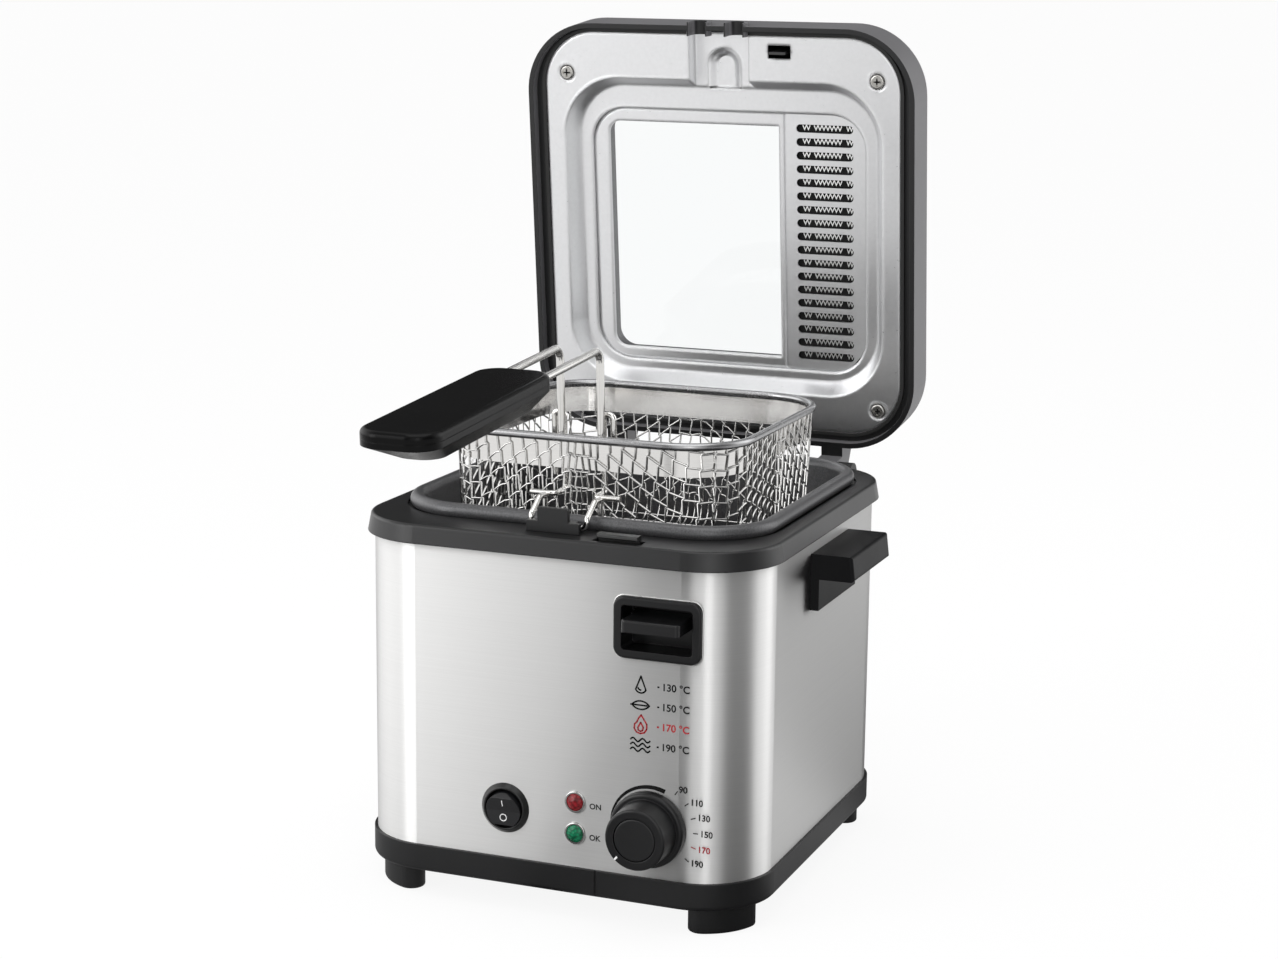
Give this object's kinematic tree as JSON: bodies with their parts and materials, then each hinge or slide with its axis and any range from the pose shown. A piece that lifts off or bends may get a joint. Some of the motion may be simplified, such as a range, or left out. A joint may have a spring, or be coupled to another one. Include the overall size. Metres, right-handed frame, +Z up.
{
  "type": "deep fryer",
  "caption": "Domestic deep fryer with a steel body, oil tank, hinged window lid, wire basket on a handle, rocker switch, temperature knob and lid latch.",
  "frame": {"origin": "on the floor, under the middle of the whole part's box with the lid open", "axes": "+X to the right as seen from the front, +Y to the back, +Z up"},
  "size_m": [0.2306, 0.3995, 0.387],
  "materials": {
    "housing_steel": "brushed sideways, satin",
    "base_plastic": "fine matt grain",
    "foot_plastic": "fine matt grain",
    "collar_plastic": "fine matt grain",
    "tank_coating": "dark non-stick coating with a speckled sheen",
    "element_metal": "dull heat-resisting sheath",
    "hidden_steel": "plain zinc-plated",
    "hidden_plastic": "plain moulding",
    "gland_plastic": "plain moulding",
    "switch_plastic": "smooth, half gloss",
    "rocker_plastic": "smooth, half gloss",
    "lens_red": "clear tinted lens",
    "lens_green": "clear tinted lens",
    "ring_chrome": "bright",
    "knob_plastic": "satin",
    "knob_cap_plastic": "smooth",
    "latch_plastic": "satin",
    "lever_plastic": "satin",
    "hook_steel": "pressed sheet",
    "spring_steel": "bright wire",
    "handle_plastic": "fine matt grain",
    "lid_plastic": "dark grey satin",
    "plate_metal": "pressed sheet, satin",
    "gasket_rubber": "matt",
    "window_glass": "clear",
    "grille_metal": "pressed sheet, satin",
    "filter_metal": "woven metal cloth",
    "screw_steel": "plated",
    "hinge_plastic": "fine matt grain",
    "wire_chrome": "bright plated wire",
    "rim_steel": "satin drawn rim wire",
    "band_steel": "bright plated strip",
    "mesh_chrome": "bright plated wire cloth",
    "grip_plastic": "satin"
  },
  "bodies": {
    "base": {"outer_housing": "housing_steel", "base_tray": "base_plastic", "foot_front_left": "foot_plastic", "foot_front_right": "foot_plastic", "foot_rear_left": "foot_plastic", "foot_rear_right": "foot_plastic", "top_collar": "collar_plastic", "oil_tank": "tank_coating", "heating_element": "element_metal", "element_terminals": "hidden_steel", "tank_posts": "hidden_steel", "heat_shield": "hidden_steel", "thermostat_bulb": "hidden_steel", "capillary_tube": "hidden_steel", "thermal_cutout": "hidden_plastic", "terminal_block": "hidden_plastic", "cord_gland": "gland_plastic", "switch_housing": "switch_plastic", "lamp_red": "lens_red", "lamp_green": "lens_green", "lamp_rings": "ring_chrome", "thermostat_body": "hidden_plastic", "latch_bezel": "latch_plastic", "latch_spring": "spring_steel", "latch_spring_seat": "hidden_steel", "side_handle_right": "handle_plastic", "side_handle_left": "handle_plastic", "hinge_bracket": "hinge_plastic", "hinge_pin": "hidden_steel", "hinge_spring_right": "spring_steel", "hinge_spring_left": "spring_steel", "hinge_screws": "screw_steel", "drain_hook": "wire_chrome", "guard_tab": "collar_plastic"},
    "latch": {"latch_lever": "lever_plastic", "latch_hook": "hook_steel"},
    "rocker": {"switch_rocker": "rocker_plastic"},
    "knob": {"control_knob": "knob_plastic", "knob_cap": "knob_cap_plastic", "thermostat_spindle": "hidden_steel"},
    "lid": {"lid_shell": "lid_plastic", "lid_plate": "plate_metal", "lid_gasket": "gasket_rubber", "window_glass": "window_glass", "window_trim": "plate_metal", "vent_grille": "grille_metal", "filter_pad": "filter_metal", "lid_screws": "screw_steel", "lid_catch": "hook_steel"},
    "basket": {"basket_rim": "rim_steel", "basket_band": "band_steel", "basket_mesh": "mesh_chrome", "basket_hangers": "wire_chrome", "handle_wires": "wire_chrome", "grip_top": "grip_plastic", "grip_bottom": "grip_plastic"}
  },
  "joints": [
    {"name": "lid_hinge", "type": "hinge", "parent": "base", "child": "lid", "pos_m": [0, 0.1625, 0.165], "axis": [1, 0, 0], "range_deg": [0, 84], "stiffness_Nm_per_rad": 0.2, "springref_deg": -91.67},
    {"name": "basket_lower", "type": "slide", "parent": "base", "child": "basket", "axis": [0, 0, -1], "range_m": [0, 0.0685]},
    {"name": "latch_press", "type": "slide", "parent": "base", "child": "latch", "axis": [0, 0, -1], "range_m": [0, 0.004], "stiffness_N_per_m": 300, "springref_m": -0.003, "deforming": ["latch_spring"]},
    {"name": "rocker_tilt", "type": "hinge", "parent": "base", "child": "rocker", "pos_m": [-0.019, -0.0515, 0.0473], "axis": [-1, 0, 0], "range_deg": [0, 20]},
    {"name": "knob_turn", "type": "hinge", "parent": "base", "child": "knob", "pos_m": [0.0497, -0.0535, 0.0473], "axis": [0, 1, 0], "range_deg": [0, 262]}
  ],
  "couplings": [
    {"joint": "basket_lower", "follows": "lid_hinge", "m_per_rad": 0.0467}
  ]
}
